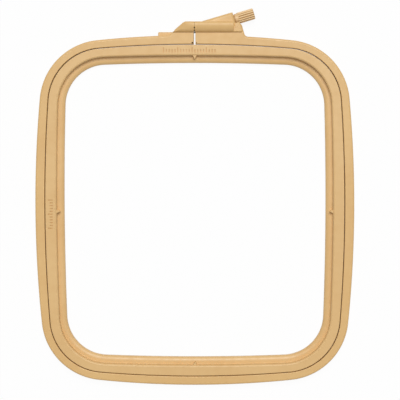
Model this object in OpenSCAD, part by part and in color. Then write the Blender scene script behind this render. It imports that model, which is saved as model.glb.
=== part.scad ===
// Square embroidery hoop: a split outer ring with a clamp block, an inner ring that lifts out, and the
// tightening screw with its knob, washer and captive nut. It lies on its back with the clamp block at +Y.
// The origin is at the middle of the opening, on the plane that the hoop rests on.

/* [Opening] */
// Width of the clear opening, halfway up its sides
opening_w = 195; // [170:1:240]
// Height of the clear opening, halfway along its ends
opening_h = 220; // [190:1:260]
// Radius of the opening's two bowed sides
opening_side_r = 2400; // [1200:50:5000]
// Radius of the opening's two bowed ends
opening_end_r = 1700; // [1200:50:5000]
// Radius of the opening's corners
opening_corner_r = 30.5; // [24:0.5:36]

/* [Inner ring] */
// Width of the sunk ledge along the sides
ledge_side_w = 5.3; // [4:0.1:8]
// Width of the sunk ledge along the ends
ledge_end_w = 5.4; // [4:0.1:8]
// Width of the raised face along the sides
face_side_w = 8.2; // [6:0.1:10]
// Width of the raised face along the ends
face_end_w = 7.8; // [6:0.1:10]
// Height of the ledge above the back
ledge_z = 5; // [3:0.1:7]
// Radius of the step's two bowed sides
step_side_r = 2100; // [1200:50:5000]
// Radius of the step's two bowed ends
step_end_r = 1900; // [1200:50:5000]
// Radius of the step's corners
step_corner_r = 36; // [30:0.5:40]
// Radius of the inner ring's two bowed outer sides
face_side_r = 1125; // [900:25:3000]
// Radius of the inner ring's two bowed outer ends
face_end_r = 850; // [700:25:3000]
// Radius of the inner ring's outer corners
face_corner_r = 41; // [36:0.5:46]
// Rounding of the step's upper edge
step_round = 0.8; // [0.3:0.1:1.5]
// Rounding of the cove at the foot of the step
cove_r = 1.4; // [0.5:0.1:2]
// Rounding of the ledge's edge at the opening
ledge_round = 1.2; // [0.5:0.1:2]

/* [Centre pointers] */
// Length of each pointer, from the step towards the opening
pointer_l = 3; // [2:0.1:4]
// Width of each pointer at the step
pointer_w = 3; // [2:0.1:5]
// Height of each pointer above the ledge
pointer_h = 3; // [1.5:0.1:4]

/* [Outer ring] */
// Height of both rings
ring_h = 10; // [8:0.5:14]
// Clearance between the rings, which the fabric fills
fabric_gap = 0.5; // [0.3:0.05:1]
// Width of the outer ring along the sides
rim_side_w = 6.9; // [5:0.1:9]
// Width of the outer ring along the ends
rim_end_w = 6.5; // [5.5:0.1:9]
// Radius of the outer ring's two bowed sides
rim_side_r = 875; // [600:25:2000]
// Radius of the outer ring's two bowed ends
rim_end_r = 700; // [600:25:2000]
// Radius of the outer ring's corners
rim_corner_r = 47.5; // [44:0.5:52]
// Rounding of the outer ring's outer front edge
rim_round = 1.4; // [0.5:0.1:2.5]
// Rounding of every other long edge
edge_round = 0.5; // [0.2:0.1:1]

/* [Clamp block] */
// Width of the split through the ring and the lugs' face
slot_w = 1.5; // [1:0.1:3]
// Width of the slit between the raised parts of the block, which nearly meet
slit_w = 0.4; // [0.2:0.1:1]
// Rounding of the ring's ends where the split meets the inner ring
slot_round = 0.8; // [0.4:0.1:2]
// Height of the block's straight top edge above the outer ring
block_rise = 9.9; // [8:0.1:12]
// Distance from the split to the left end of the block's top edge
block_left = 7.6; // [5:0.1:12]
// Length of the slope down the block's left end, along X
slope_l = 11.7; // [8:0.1:16]
// Thickness of the block behind the long boss
block_h = 11.5; // [11:0.1:13]
// Distance from the outer ring to the foot of the raised part of the block
lug_face_w = 2.2; // [1:0.1:3]
// Radius of the long boss along the block's front
boss_r = 4; // [3:0.1:5]
// Height of the boss's top above the resting plane
boss_top = 14; // [13:0.1:16]
// Distance from the barrel's end face back to the boss's right end
boss_setback = 1; // [0.5:0.1:4]
// Slope of the boss's left end, in degrees
boss_end_angle = 18; // [10:1:35]
// Radius of the fillets at the block's feet
foot_r = 3; // [1:0.1:4]
// Length of the low shelf to the left of the block
shelf_l = 7.6; // [5:0.1:14]
// Height of the low shelf
shelf_h = 7; // [5:0.1:9]
// How far the low shelf reaches past the outer ring
shelf_rise = 2.3; // [1:0.1:3]
// Rounding of the block's front edges
block_round = 0.9; // [0.4:0.1:1.4]
// Rounding of the barrel's front edges
barrel_round = 2.2; // [0.8:0.1:3]

/* [Screw] */
// Tilt of the screw from the X axis, in degrees
screw_tilt = 16.5; // [14:0.5:20]
// Distance from the outer ring's top to the screw's axis, at the split
screw_rise = 3; // [2:0.1:4]
// Height of the screw's axis above the resting plane
screw_z = 5.6; // [5:0.1:6.5]
// Outer diameter of the screw's thread
screw_d = 3; // [2.5:0.1:3.5]
// Chamfer at the screw's tip
tip_chamfer = 0.5; // [0.2:0.1:1]
// Diametral clearance of the screw in its holes
screw_clearance = 0.16; // [0.06:0.02:0.3]
// Distance from the split to the barrel's end face, along the screw
barrel_l = 30.6; // [28:0.2:34]
// Half width of the barrel that carries the screw
barrel_r = 5.3; // [4.6:0.1:6]
// Length of the block's corner that runs on under the knob
heel_l = 4; // [2:0.1:6]
// Step from that corner's side up to its raised part
heel_step = 0.4; // [0.2:0.1:0.8]
// Clearance between that corner and the knob
heel_gap = 0.3; // [0.2:0.1:1.5]
// How far the screw reaches past the split
tail_l = 14; // [12:0.5:16]
// Free depth of the screw's hole beyond its tip
tail_room = 1; // [0.5:0.1:1.5]

/* [Nut and washer] */
// Width of the square nut across its flats
nut_w = 5.5; // [5:0.1:6]
// Thickness of the nut
nut_t = 1.8; // [1.5:0.1:2.5]
// Distance from the split to the nut
nut_set = 6; // [4:0.1:8]
// Clearance of the nut in its pocket
nut_gap = 0.1; // [0.05:0.05:0.3]
// Outer diameter of the thrust washer
washer_d = 7; // [6:0.1:8]
// Thickness of the thrust washer
washer_t = 0.6; // [0.5:0.1:1.2]

/* [Knob] */
// Diameter of the knob over its ribs
knob_d = 8.4; // [7.5:0.1:9]
// Length of the ribbed grip
grip_l = 12.6; // [10:0.1:16]
// Diameter of the smooth neck
neck_d = 7.6; // [6.4:0.1:8]
// Length of the smooth neck
neck_l = 1.8; // [1:0.1:4]
// Number of grooves round the grip
grooves = 16; // [12:1:20]
// Radius of each groove
groove_r = 0.5; // [0.3:0.05:0.6]
// Chamfer at both ends of the grip
knob_chamfer = 0.7; // [0.3:0.1:1]
// How far the screw is moulded into the grip
screw_seat = 9; // [6:0.5:11]

/* [Hidden] */
// Segments along each bowed side, each bowed end and each corner
side_steps = 10;
corner_steps = 16;
// Extra depth that a cut runs past the surface it opens
past = 1;
// Each outline is [half width, half height, side radius, end radius, corner radius]
opening = [opening_w / 2, opening_h / 2, opening_side_r, opening_end_r, opening_corner_r];
step = [opening[0] + ledge_side_w, opening[1] + ledge_end_w, step_side_r, step_end_r, step_corner_r];
face = [step[0] + face_side_w, step[1] + face_end_w, face_side_r, face_end_r, face_corner_r];
wall = [for (v = face) v + fabric_gap];
rim = [wall[0] + rim_side_w, wall[1] + rim_end_w, rim_side_r, rim_end_r, rim_corner_r];
// Landmarks of the clamp block
rim_top = rim[1];
screw_y = rim_top + screw_rise;
block_top = rim_top + block_rise;
lug_edge = rim_top + lug_face_w;
block_root = wall[1] + rim_end_w / 2;
slope_foot = [-block_left - slope_l, rim_edge(block_left + slope_l)];
slope_angle = atan2(block_top - slope_foot[1], slope_l);
boss_right = (barrel_l - (block_top - screw_y) * sin(screw_tilt)) / cos(screw_tilt) - boss_setback;
heel_end = barrel_l + heel_l;
heel_top = -knob_d / 2 - heel_gap;
heel_foot_y = rim_edge(heel_end);
heel_foot = [(heel_end - (heel_foot_y - screw_y) * sin(screw_tilt)) / cos(screw_tilt), heel_foot_y];
hole_d = screw_d + screw_clearance;
// How far a pointer's root reaches into the step
pointer_root = 1;

// Y of the outer ring's top edge at a distance x from the middle
function rim_edge(x) = rim[1] - rim[3] + sqrt(rim[3] * rim[3] - x * x);

// Centre of an outline's first corner: the circle that touches both the side's arc and the end's arc
function corner_centre(o) =
    let (x1 = o[0] - o[2], r1 = o[2] - o[4], y2 = o[1] - o[3], r2 = o[3] - o[4])
    let (d = norm([x1, y2]), t = (r1 * r1 - r2 * r2 + d * d) / (2 * d), h = sqrt(r1 * r1 - t * t))
    let (u = [-x1, y2] / d)
    [x1 + u[0] * t - u[1] * h, u[1] * t + u[0] * h];

// Arcs of an outline's first quarter as [centre, radius, first angle, last angle, steps]
function quarter_arcs(o) =
    let (c = corner_centre(o))
    let (side = atan2(c[1], c[0] - o[0] + o[2]), end = atan2(c[1] - o[1] + o[3], c[0]))
    [
        [[o[0] - o[2], 0], o[2], 0, side, side_steps / 2],
        [c, o[4], side, end, corner_steps],
        [[0, o[1] - o[3]], o[3], end, 90, side_steps / 2],
    ];

// Points of the first quarter, moved outwards by d, without the last one
function quarter(o, d) = [
    for (arc = quarter_arcs(o))
        for (i = [0 : arc[4] - 1])
            let (a = arc[2] + (arc[3] - arc[2]) * i / arc[4])
            arc[0] + (arc[1] + d) * [cos(a), sin(a)]
];

// The whole outline: each later quarter mirrors the one before it
function outline(o, d) =
    let (q = quarter(o, d), top = [0, o[1] + d], right = [o[0] + d, 0], n = len(q))
    concat(
        q,
        [top],
        [for (i = [n - 1 : -1 : 1]) [-q[i][0], q[i][1]]],
        [-right],
        [for (i = [1 : n - 1]) -q[i]],
        [-top],
        [for (i = [n - 1 : -1 : 1]) [q[i][0], -q[i][1]]]
    );

// A rounded edge in a ring's section, as [outline, distance outwards, z] for each of its points
function edge(o, x, z, r, from, to, n) = [
    for (i = [0 : n])
        let (a = from + (to - from) * i / n)
        [o, x + r * cos(a), z + r * sin(a)]
];

// A ring whose section follows its outlines all the way round
module swept_ring(section) {
    loops = [for (p = section) outline(p[0], p[1])];
    rows = len(section);
    count = len(loops[0]);
    points = [for (i = [0 : count - 1]) for (k = [0 : rows - 1]) [loops[k][i][0], loops[k][i][1], section[k][2]]];
    faces = [
        for (i = [0 : count - 1])
            for (k = [0 : rows - 1])
                let (j = (i + 1) % count, m = (k + 1) % rows)
                let (a = i * rows + k, b = i * rows + m, c = j * rows + m, d = j * rows + k)
                for (t = [[a, b, c], [a, c, d]]) t
    ];
    polyhedron(points, faces, convexity = 4);
}

// Places its children with z along the screw, at a distance from the split
module on_screw(at) {
    translate([0, screw_y, screw_z]) rotate([0, 0, screw_tilt]) rotate([0, 90, 0]) translate([0, 0, at])
        children();
}

// Places a flat shape with x along the screw and y across it
module screw_plane() {
    translate([0, screw_y]) rotate(screw_tilt) children();
}

// Fillet between the ring's top edge and a slope that leaves it at a corner
module foot_fillet(corner, angle) {
    reach = foot_r * tan(angle / 2);
    difference() {
        polygon([
            corner + [-reach, -past],
            corner + [-reach, 0],
            corner + reach * [cos(angle), sin(angle)],
            corner + [reach, -past],
        ]);
        translate(corner + [-reach, foot_r]) circle(r = foot_r, $fn = 48);
    }
}

// Outline of the block to the left of the barrel
module slope_outline() {
    polygon([
        [slope_foot[0], block_root],
        slope_foot,
        [-block_left, block_top],
        [boss_right, block_top],
        [boss_right, block_root],
    ]);
}

// Outline of the inclined barrel round the screw
module barrel_outline() {
    screw_plane() translate([0, heel_top - past]) square([barrel_l, barrel_r - heel_top + past]);
}

// Outline of the corner that runs on under the knob, drawn in by a small step
module heel_outline(step_back) {
    intersection() {
        screw_plane() translate([barrel_l / 2, heel_top - step_back - 3 * barrel_r])
            square([heel_end - step_back - barrel_l / 2, 3 * barrel_r]);
        translate([0, block_root]) square([2 * heel_end, block_rise * 2]);
    }
}

// Part of a flat shape that belongs to the raised block
module raised_part() {
    intersection() {
        children();
        translate([-2 * heel_end, lug_edge]) square([4 * heel_end, 3 * block_rise]);
    }
}

// A convex plate whose front edges are rounded
module soft_plate(r) {
    hull()
        for (a = [0 : 22.5 : 90])
            linear_extrude(height = block_h - r + r * sin(a)) offset(delta = -r + r * cos(a)) children();
}

module long_boss() {
    axis_y = block_top - boss_r;
    length = boss_right + block_left + slope_l;
    intersection() {
        translate([-block_left - slope_l, axis_y, boss_top - boss_r]) rotate([0, 90, 0])
            cylinder(r = boss_r, h = length, $fn = 96);
        linear_extrude(height = boss_top + past) raised_part() slope_outline();
        // The left end slopes down to the block
        translate([-block_left, axis_y - boss_r, boss_top]) rotate([0, -boss_end_angle, 0])
            translate([-length, -past, -length]) cube([3 * length, 2 * boss_r + 2 * past, length]);
    }
}

module clamp_block() {
    linear_extrude(height = ring_h) {
        slope_outline();
        heel_outline(0);
    }
    // The fillets stop below the rounded edge of the ring that they run into
    linear_extrude(height = ring_h - rim_round / 2) {
        foot_fillet(slope_foot, slope_angle);
        translate([2 * heel_foot[0], 0]) mirror([1, 0]) foot_fillet(heel_foot, 90 - screw_tilt);
    }
    soft_plate(block_round) raised_part() slope_outline();
    soft_plate(barrel_round) raised_part() barrel_outline();
    soft_plate(block_round) raised_part() heel_outline(heel_step);
    long_boss();
    translate([slope_foot[0] - shelf_l, block_root, 0])
        cube([shelf_l + slope_l / 2, rim_top + shelf_rise - block_root, shelf_h]);
}

// The split, with the ring's ends rounded where they meet the inner ring
module split() {
    slot_foot = wall[1] - rim_end_w;
    translate([-slot_w / 2, slot_foot, -past]) cube([slot_w, lug_edge - slot_foot, boss_top + 2 * past]);
    translate([-slit_w / 2, slot_foot, -past]) cube([slit_w, 4 * block_rise, boss_top + 2 * past]);
    for (s = [-1, 1])
        translate([s * slot_w / 2, wall[1], -past]) linear_extrude(height = boss_top + 2 * past)
            difference() {
                translate([s > 0 ? -past : -slot_round, -slot_round]) square([slot_round + past, 2 * slot_round]);
                translate([s * slot_round, slot_round]) circle(r = slot_round, $fn = 32);
                translate([s > 0 ? slot_round : -2 * slot_round, -2 * slot_round])
                    square([slot_round, 4 * slot_round]);
            }
}

module screw_holes() {
    on_screw(0) cylinder(d = hole_d, h = barrel_l + past, $fn = 48);
    on_screw(-tail_l - tail_room) cylinder(d = hole_d, h = tail_l + tail_room + past, $fn = 48);
}

// Pocket for the nut, open at the back of the block
module nut_pocket() {
    width = nut_w + 2 * nut_gap;
    on_screw(-nut_set - nut_t - nut_gap) translate([-width / 2, -width / 2, 0])
        cube([screw_z + width / 2 + past, width, nut_t + 2 * nut_gap]);
}

module outer_ring() {
    color("tan") difference() {
        union() {
            swept_ring(concat(
                edge(rim, -edge_round, edge_round, edge_round, -90, 0, 2),
                edge(rim, -rim_round, ring_h - rim_round, rim_round, 0, 90, 4),
                edge(wall, edge_round, ring_h - edge_round, edge_round, 90, 180, 2),
                edge(wall, edge_round, edge_round, edge_round, 180, 270, 2)
            ));
            clamp_block();
        }
        split();
        screw_holes();
        nut_pocket();
    }
}

// A three-cornered pointer on the ledge, rooted in the step
module pointer(reach) {
    base = pointer_w * (pointer_l + pointer_root) / pointer_l;
    translate([reach - pointer_l, 0, ledge_z - past]) linear_extrude(height = pointer_h + past)
        polygon([[0, 0], [pointer_l + pointer_root, base / 2], [pointer_l + pointer_root, -base / 2]]);
}

module inner_ring() {
    color("burlywood") {
        swept_ring(concat(
            edge(face, -edge_round, edge_round, edge_round, -90, 0, 2),
            edge(face, -edge_round, ring_h - edge_round, edge_round, 0, 90, 2),
            edge(step, step_round, ring_h - step_round, step_round, 90, 180, 3),
            edge(step, -cove_r, ledge_z + cove_r, cove_r, 0, -90, 3),
            edge(opening, ledge_round, ledge_z - ledge_round, ledge_round, 90, 180, 3),
            edge(opening, edge_round, edge_round, edge_round, 180, 270, 2)
        ));
        for (turn = [0, 180]) {
            rotate(turn) pointer(step[0]);
            rotate(turn + 90) pointer(step[1]);
        }
    }
}

module captive_nut() {
    color("silver") on_screw(-nut_set - nut_t) difference() {
        translate([-nut_w / 2, -nut_w / 2, 0]) cube([nut_w, nut_w, nut_t]);
        translate([0, 0, -past]) cylinder(d = screw_d + screw_clearance / 2, h = nut_t + 2 * past, $fn = 48);
    }
}

module thrust_washer() {
    color("silver") on_screw(barrel_l) difference() {
        cylinder(d = washer_d, h = washer_t, $fn = 64);
        translate([0, 0, -past]) cylinder(d = hole_d, h = washer_t + 2 * past, $fn = 48);
    }
}

module clamp_screw() {
    r = screw_d / 2;
    length = tail_l + barrel_l + washer_t + neck_l + screw_seat;
    color("gainsboro") on_screw(-tail_l) rotate_extrude($fn = 48) polygon([
        [0, 0],
        [r - tip_chamfer, 0],
        [r, tip_chamfer],
        [r, length],
        [0, length],
    ]);
}

module tightening_knob() {
    r = knob_d / 2;
    color("tan") on_screw(barrel_l + washer_t) difference() {
        rotate_extrude($fn = 96) polygon([
            [0, 0],
            [neck_d / 2, 0],
            [neck_d / 2, neck_l],
            [r - knob_chamfer, neck_l],
            [r, neck_l + knob_chamfer],
            [r, neck_l + grip_l - knob_chamfer],
            [r - knob_chamfer, neck_l + grip_l],
            [0, neck_l + grip_l],
        ]);
        for (i = [0 : grooves - 1])
            rotate(i * 360 / grooves) translate([r, 0, neck_l - past])
                cylinder(r = groove_r, h = grip_l + 2 * past, $fn = 24);
        translate([0, 0, -past]) cylinder(d = screw_d, h = neck_l + screw_seat + past, $fn = 48);
    }
}

outer_ring();
inner_ring();
captive_nut();
thrust_washer();
clamp_screw();
tightening_knob();
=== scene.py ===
import math

import bmesh
import bpy
from mathutils import Matrix, Vector


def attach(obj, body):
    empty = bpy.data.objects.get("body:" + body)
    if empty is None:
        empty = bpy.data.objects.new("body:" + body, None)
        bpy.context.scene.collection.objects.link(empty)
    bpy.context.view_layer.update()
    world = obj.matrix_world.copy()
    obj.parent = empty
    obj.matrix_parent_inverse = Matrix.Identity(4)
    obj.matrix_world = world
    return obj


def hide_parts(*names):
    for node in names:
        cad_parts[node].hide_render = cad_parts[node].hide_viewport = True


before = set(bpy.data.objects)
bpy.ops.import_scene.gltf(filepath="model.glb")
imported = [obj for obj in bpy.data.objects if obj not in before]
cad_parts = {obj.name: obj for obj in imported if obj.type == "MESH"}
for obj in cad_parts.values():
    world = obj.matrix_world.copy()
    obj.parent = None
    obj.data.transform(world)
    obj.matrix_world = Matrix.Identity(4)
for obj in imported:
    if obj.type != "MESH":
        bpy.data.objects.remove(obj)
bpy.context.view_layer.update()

# Square embroidery hoop: two moulded rings, a clamp block with its inclined screw, and a ribbed knob.
# Sizes in the dictionaries are millimetres and degrees, and every mesh is made in metres.
scene = bpy.context.scene
scene.view_settings.view_transform = "Standard"


def mm(*values):
    return Vector([v / 1000 for v in values]) if len(values) > 1 else values[0] / 1000


def perMetre(size):
    # a texture's scale from the size of its pattern
    return 1000 / size


def addNode(tree, kind, inputs=None, **settings):
    # an input takes a plain value or another node's output
    node = tree.nodes.new(kind)
    for name, value in settings.items():
        setattr(node, name, value)
    for name, value in (inputs or {}).items():
        if isinstance(value, bpy.types.NodeSocket):
            tree.links.new(value, node.inputs[name])
        else:
            node.inputs[name].default_value = value
    return node


def linear(code, alpha=1.0):
    # sRGB hex to the linear colour that the shaders take
    levels = [int(code[i:i + 2], 16) / 255 for i in (1, 3, 5)]
    return [v / 12.92 if v <= 0.04045 else ((v + 0.055) / 1.055) ** 2.4 for v in levels] + [alpha]


def newMaterial(name):
    material = bpy.data.materials.new(name)
    material.use_nodes = True
    material.node_tree.nodes.clear()
    return material, material.node_tree


print("camera, light and floor")

camera = {
    "aim": (3.85, 8.67, 10.0),
    "aside": 18.3,  # how far it stands to the right of its aim
    "distance": 1000,
    "pitch": 4.0,
    "focal": 121.43,
    "sensor": 36,
    "clipEnd": 20000,
}
light = {"place": (500, 3500, 8400), "size": 4200, "power": 560.0, "fill": 0.34, "colour": "#FFFFFF"}
floor = {"size": 4000, "drop": 0.3, "colour": "#F4F4F4", "glow": 0.94}

view = bpy.data.objects.new("camera", bpy.data.cameras.new("camera"))
scene.collection.objects.link(view)
scene.camera = view
view.data.lens = camera["focal"]
view.data.sensor_width = camera["sensor"]
view.data.clip_end = mm(camera["clipEnd"])
pitch = math.radians(camera["pitch"])
away = Vector((0, math.sin(pitch), math.cos(pitch))) * mm(camera["distance"])
view.location = mm(*camera["aim"]) + away + mm(camera["aside"], 0, 0)
view.rotation_euler = (-pitch, 0, 0)
# the lens is shifted, so that the aim stays in the picture's middle
view.data.shift_x = -camera["aside"] / camera["distance"] * camera["focal"] / camera["sensor"]

lamp = bpy.data.objects.new("softbox", bpy.data.lights.new("softbox", "AREA"))
scene.collection.objects.link(lamp)
lamp.data.size = mm(light["size"])
lamp.data.energy = light["power"]
lamp.location = mm(*light["place"])
lamp.rotation_euler = lamp.location.to_track_quat("Z", "Y").to_euler()


def whereSeen(tree):
    # 1 on rays from the camera or from a reflection, 0 on those that only bring light
    path = addNode(tree, "ShaderNodeLightPath")
    seen = path.outputs["Is Camera Ray"]
    for ray in ("Is Glossy Ray", "Is Transmission Ray"):
        either = addNode(tree, "ShaderNodeMath", {0: seen, 1: path.outputs[ray]}, operation="MAXIMUM")
        seen = either.outputs[0]
    return seen


# The world fills the shadows, and looks white to the camera and in reflections
world = scene.world or bpy.data.worlds.new("world")
scene.world = world
world.use_nodes = True
sky = world.node_tree
sky.nodes.clear()
white = linear(light["colour"])
level = addNode(sky, "ShaderNodeMapRange", {"Value": whereSeen(sky), "To Min": light["fill"], "To Max": 1.0})
backdrop = addNode(sky, "ShaderNodeBackground", {"Color": white, "Strength": level.outputs[0]})
addNode(sky, "ShaderNodeOutputWorld", {"Surface": backdrop.outputs[0]})

# White card: mostly lit by itself where the camera sees it, so that only a faint shadow shows
card, cardTree = newMaterial("whiteCard")
share = addNode(cardTree, "ShaderNodeMath", {0: whereSeen(cardTree), 1: floor["glow"]}, operation="MULTIPLY")
matt = addNode(cardTree, "ShaderNodeBsdfDiffuse", {"Color": linear(floor["colour"])})
glow = addNode(cardTree, "ShaderNodeEmission", {"Color": white, "Strength": 1.0})
mixed = addNode(cardTree, "ShaderNodeMixShader", {
    0: share.outputs[0], 1: matt.outputs[0], 2: glow.outputs[0]})
addNode(cardTree, "ShaderNodeOutputMaterial", {"Surface": mixed.outputs[0]})

half = mm(floor["size"]) / 2
ground = bpy.data.meshes.new("floor")
corners = ((-half, -half), (half, -half), (half, half), (-half, half))
ground.from_pydata([(x, y, -mm(floor["drop"])) for x, y in corners], [], [(0, 1, 2, 3)])
ground.materials.append(card)
table = bpy.data.objects.new("floor", ground)
scene.collection.objects.link(table)


print("materials")

noiseSpan = {"From Min": 0.3, "From Max": 0.7}  # a noise texture seldom leaves this range

plastic = {
    "outer": ("#DFB87B", "#CFA163"),  # pale and dark tone of each moulding
    "inner": ("#E0BA80", "#D0A467"),
    "knob": ("#E9C895", "#DAB27B"),
    "ior": 1.5,
    "flow": 38.0,  # how far apart the melt's pale and dark streaks lie
    "flowShare": 0.3,  # the most of the dark tone that they bring in
    "mottle": 5.0,
    "mottleShare": 0.22,
    "grain": 0.9,  # the mould's spark-eroded grain is finer, and is drawn this coarse to show
    "grainDepth": 0.012,
    "grainStrength": 0.35,
    "roughLow": 0.36,
    "roughHigh": 0.46,
}


def awayFromLine(tree, place, point, direction):
    # each point's distance from a straight line
    arm = addNode(tree, "ShaderNodeVectorMath", {0: place, 1: point}, operation="SUBTRACT")
    along = addNode(tree, "ShaderNodeVectorMath", {0: arm.outputs[0], 1: direction},
                    operation="CROSS_PRODUCT")
    return addNode(tree, "ShaderNodeVectorMath", {0: along.outputs[0]}, operation="LENGTH").outputs["Value"]


def mouldedPlastic(name, tones, grooves=None):
    # Injection-moulded polypropylene: satin, warm and even, with faint flow streaks and a fine mould grain
    material, tree = newMaterial(name)
    place = addNode(tree, "ShaderNodeTexCoord").outputs["Object"]
    flow = addNode(tree, "ShaderNodeTexNoise", {
        "Vector": place, "Scale": perMetre(plastic["flow"]), "Detail": 3.0, "Roughness": 0.45,
        "Distortion": 0.6})
    mottle = addNode(tree, "ShaderNodeTexNoise", {
        "Vector": place, "Scale": perMetre(plastic["mottle"]), "Detail": 2.0})
    grain = addNode(tree, "ShaderNodeTexNoise", {
        "Vector": place, "Scale": perMetre(plastic["grain"]), "Detail": 2.0, "Roughness": 0.6})
    streak = addNode(tree, "ShaderNodeMapRange", {
        "Value": flow.outputs["Fac"], **noiseSpan, "To Max": plastic["flowShare"]})
    spot = addNode(tree, "ShaderNodeMapRange", {
        "Value": mottle.outputs["Fac"], **noiseSpan, "To Max": plastic["mottleShare"]})
    both = addNode(tree, "ShaderNodeMath", {0: streak.outputs[0], 1: spot.outputs[0]}, operation="ADD")
    tone = addNode(tree, "ShaderNodeMix", {
        "Factor": both.outputs[0], "A": linear(tones[0]), "B": linear(tones[1])}, data_type="RGBA")
    if grooves:
        # painted shade darkens what lies deep between the ribs, standing in for the shade that the ribs cast
        far = awayFromLine(tree, place, grooves["point"], grooves["direction"])
        deep = addNode(tree, "ShaderNodeMapRange", {
            "Value": far, "From Min": grooves["unshaded"], "From Max": grooves["bottom"],
            "To Max": grooves["share"]})
        tone = addNode(tree, "ShaderNodeMix", {
            "Factor": deep.outputs[0], "A": tone.outputs["Result"],
            "B": linear(grooves["colour"])}, data_type="RGBA")
    satin = addNode(tree, "ShaderNodeMapRange", {
        "Value": mottle.outputs["Fac"], **noiseSpan, "To Min": plastic["roughLow"],
        "To Max": plastic["roughHigh"]})
    bump = addNode(tree, "ShaderNodeBump", {
        "Height": grain.outputs["Fac"], "Strength": plastic["grainStrength"],
        "Distance": mm(plastic["grainDepth"])})
    surface = addNode(tree, "ShaderNodeBsdfPrincipled", {
        "Base Color": tone.outputs["Result"], "Roughness": satin.outputs[0], "IOR": plastic["ior"],
        "Normal": bump.outputs[0]})
    addNode(tree, "ShaderNodeOutputMaterial", {"Surface": surface.outputs[0]})
    return material


steel = {
    "tones": ("#D3D6D8", "#B4B9BE"),
    "blotch": 2.5,
    "scratch": 0.7,  # the tool's real marks are finer, and are drawn this coarse to show
    "scratchDepth": 0.01,
    "scratchStrength": 0.2,
    "roughLow": 0.24,
    "roughHigh": 0.4,
}


def zincSteel(name):
    # Zinc-plated steel, rolled and turned: cool grey, bright, with a slightly uneven plated bloom
    material, tree = newMaterial(name)
    place = addNode(tree, "ShaderNodeTexCoord").outputs["Object"]
    blotch = addNode(tree, "ShaderNodeTexNoise", {
        "Vector": place, "Scale": perMetre(steel["blotch"]), "Detail": 3.0})
    scratch = addNode(tree, "ShaderNodeTexNoise", {
        "Vector": place, "Scale": perMetre(steel["scratch"]), "Detail": 2.0})
    tone = addNode(tree, "ShaderNodeMix", {
        "Factor": blotch.outputs["Fac"], "A": linear(steel["tones"][0]),
        "B": linear(steel["tones"][1])}, data_type="RGBA")
    satin = addNode(tree, "ShaderNodeMapRange", {
        "Value": blotch.outputs["Fac"], **noiseSpan, "To Min": steel["roughLow"],
        "To Max": steel["roughHigh"]})
    bump = addNode(tree, "ShaderNodeBump", {
        "Height": scratch.outputs["Fac"], "Strength": steel["scratchStrength"],
        "Distance": mm(steel["scratchDepth"])})
    surface = addNode(tree, "ShaderNodeBsdfPrincipled", {
        "Base Color": tone.outputs["Result"], "Metallic": 1.0, "Roughness": satin.outputs[0],
        "Normal": bump.outputs[0]})
    addNode(tree, "ShaderNodeOutputMaterial", {"Surface": surface.outputs[0]})
    return material


ringPlastic = mouldedPlastic("mouldedPlasticOuter", plastic["outer"])
innerPlastic = mouldedPlastic("mouldedPlasticInner", plastic["inner"])
platedSteel = zincSteel("zincPlatedSteel")


# Mesh helpers

weldDistance = 1e-7  # in metres
creaseAngle = 32  # an edge that bends more than this stays sharp
past = 1.0  # each cutter reaches this far past what it cuts


def quarterTurn(steps):
    # angles from 0 to 90 degrees, in radians
    return [math.pi / 2 * i / steps for i in range(steps + 1)]


def newPiece(name, mesh):
    piece = bpy.data.objects.new(name, mesh)
    scene.collection.objects.link(piece)
    return piece


def meshPiece(name, points, faces):
    mesh = bpy.data.meshes.new(name)
    mesh.from_pydata([mm(*p) for p in points], [], faces)
    return newPiece(name, mesh)


def cleanShell(piece):
    # merges doubles and turns every face of a closed shell outwards
    shell = bmesh.new()
    shell.from_mesh(piece.data)
    bmesh.ops.remove_doubles(shell, verts=shell.verts, dist=weldDistance)
    bmesh.ops.recalc_face_normals(shell, faces=shell.faces)
    shell.to_mesh(piece.data)
    shell.free()
    return piece


def keepResult(piece):
    # the evaluated mesh takes the place of the mesh and its modifiers
    result = bpy.data.meshes.new_from_object(piece.evaluated_get(bpy.context.evaluated_depsgraph_get()))
    piece.modifiers.clear()
    piece.data = result
    return piece


def combine(piece, tools, operation):
    for tool in tools:
        change = piece.modifiers.new(tool.name, "BOOLEAN")
        change.operation = operation
        change.solver = "EXACT"
        change.object = tool
        cleanShell(keepResult(piece))
        bpy.data.objects.remove(tool)
    return piece


def finishShading(piece, material):
    # flats stay flat and small roundings blend into them
    piece.data.materials.clear()
    piece.data.materials.append(material)
    for face in piece.data.polygons:
        face.material_index = 0
        face.use_smooth = True
    piece.data.set_sharp_from_angle(angle=math.radians(creaseAngle))
    weigh = piece.modifiers.new("weighNormals", "WEIGHTED_NORMAL")
    weigh.keep_sharp = True
    return keepResult(piece)


def newTree(name, sockets):
    tree = bpy.data.node_groups.new(name, "GeometryNodeTree")
    for title, kind in sockets.items():
        tree.interface.new_socket(title, in_out="INPUT", socket_type="NodeSocket" + kind)
    tree.interface.new_socket("Geometry", in_out="OUTPUT", socket_type="NodeSocketGeometry")
    return tree, addNode(tree, "NodeGroupInput").outputs


def endTree(tree, geometry, material):
    real = addNode(tree, "GeometryNodeRealizeInstances", {"Geometry": geometry})
    painted = addNode(tree, "GeometryNodeSetMaterial", {"Geometry": real.outputs[0], "Material": material})
    addNode(tree, "NodeGroupOutput", {0: painted.outputs[0]})


def runTree(name, tree, values):
    # what the tree makes becomes a plain mesh, and its modifier goes
    piece = newPiece(name, bpy.data.meshes.new(name))
    maker = piece.modifiers.new(name, "NODES")
    maker.node_group = tree
    for item in tree.interface.items_tree:
        if item.in_out == "INPUT":
            maker[item.identifier] = values[item.name]
    return keepResult(piece)


print("rings")

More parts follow.
